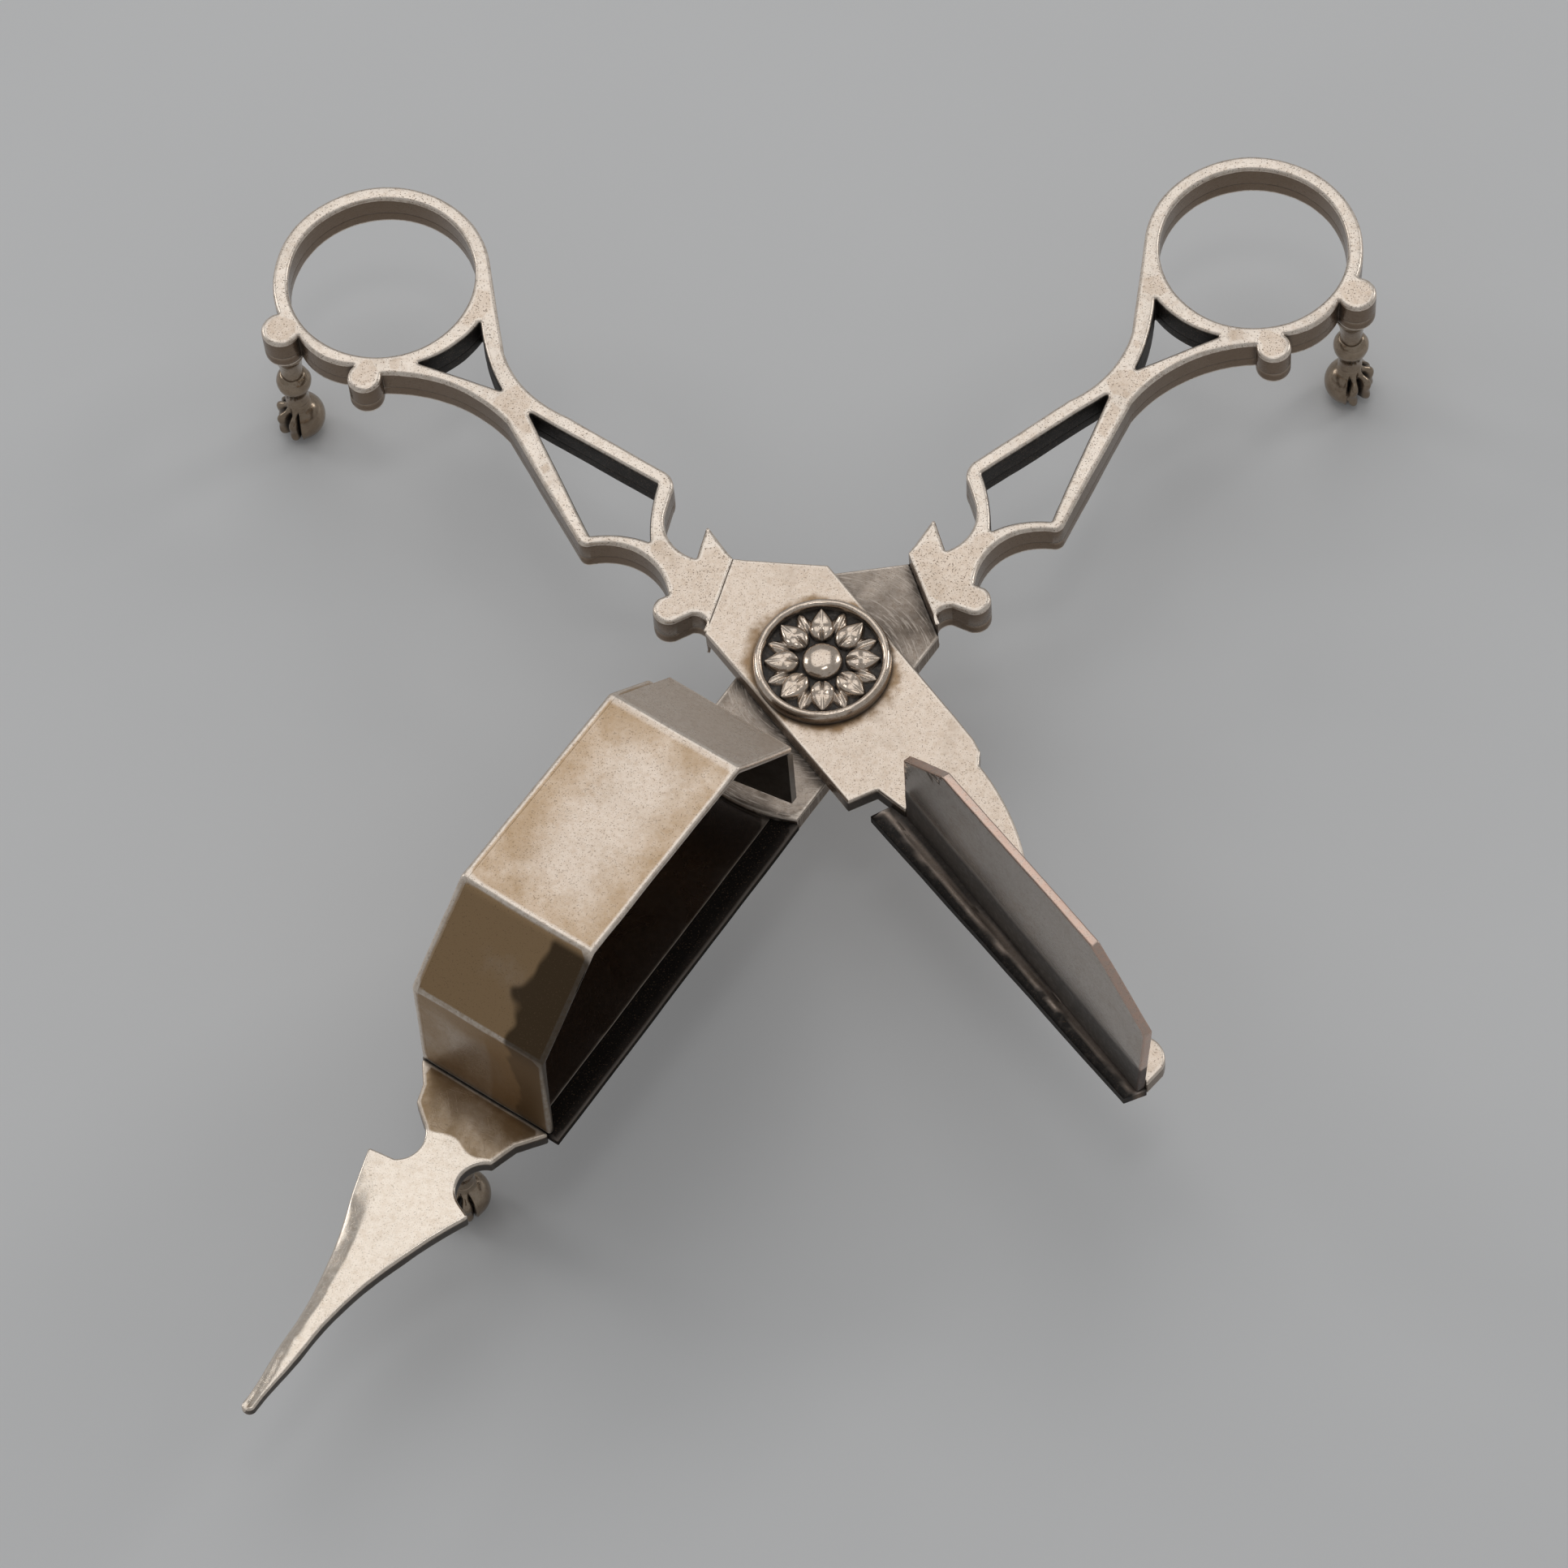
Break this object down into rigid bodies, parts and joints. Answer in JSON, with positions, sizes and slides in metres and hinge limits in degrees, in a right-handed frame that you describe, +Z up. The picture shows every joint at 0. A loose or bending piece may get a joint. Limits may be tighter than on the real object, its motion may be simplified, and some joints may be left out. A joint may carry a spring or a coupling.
{
  "type": "wick trimmer",
  "caption": "Silver candle snuffer scissors: two crossed arms with finger rings, an open snuff box and an upright blade, standing on claw feet.",
  "frame": {"origin": "on the table, under the middle of the whole object's footprint", "axes": "+Y from the pointed tip's end towards the finger rings, +Z up, +X towards the ring of the arm that carries the snuff box"},
  "size_m": [0.115, 0.136, 0.0388],
  "materials": {
    "handle_silver": "worn warm silver with rounded bright edges and fine pits",
    "lap_silver": "silver scratched in arcs about the pivot, brown tarnish in the corners",
    "box_silver": "honey-brown tarnished silver, bright along the folds",
    "tip_silver": "polished silver with a brown root and bevel",
    "blade_silver": "rubbed grey silver with a pinkish upper edge",
    "cutter_steel": "blackened steel with a rubbed cutting edge",
    "foot_silver": "cast silver with dark grooves between the toes",
    "rosette_silver": "bright relief over a dark recessed field",
    "pin_silver": "peened rivet end, dull"
  },
  "bodies": {
    "box_arm": {"box_handle": "handle_silver", "box_lamina": "lap_silver", "box_floor": "box_silver", "shear_strip": "cutter_steel", "box_roof": "box_silver", "box_side": "box_silver", "box_rear_wall": "box_silver", "spear_tip": "tip_silver", "box_foot_leg": "foot_silver", "box_foot_paw": "foot_silver", "front_foot_leg": "foot_silver", "front_foot_paw": "foot_silver"},
    "plate_arm": {"plate_handle": "handle_silver", "pivot_plate": "lap_silver", "cutter_strip": "cutter_steel", "snuffer_blade": "blade_silver", "plate_foot_leg": "foot_silver", "plate_foot_paw": "foot_silver", "pivot_pin": "pin_silver", "pivot_washer": "pin_silver", "rosette_rim": "rosette_silver", "rosette_flower": "rosette_silver", "pivot_dome": "rosette_silver"}
  },
  "joints": [
    {"name": "pivot_hinge", "type": "hinge", "parent": "box_arm", "child": "plate_arm", "pos_m": [0.00022, 0.00923, 0.0171], "axis": [0, 0, -1], "range_deg": [0, 57.5]}
  ]
}
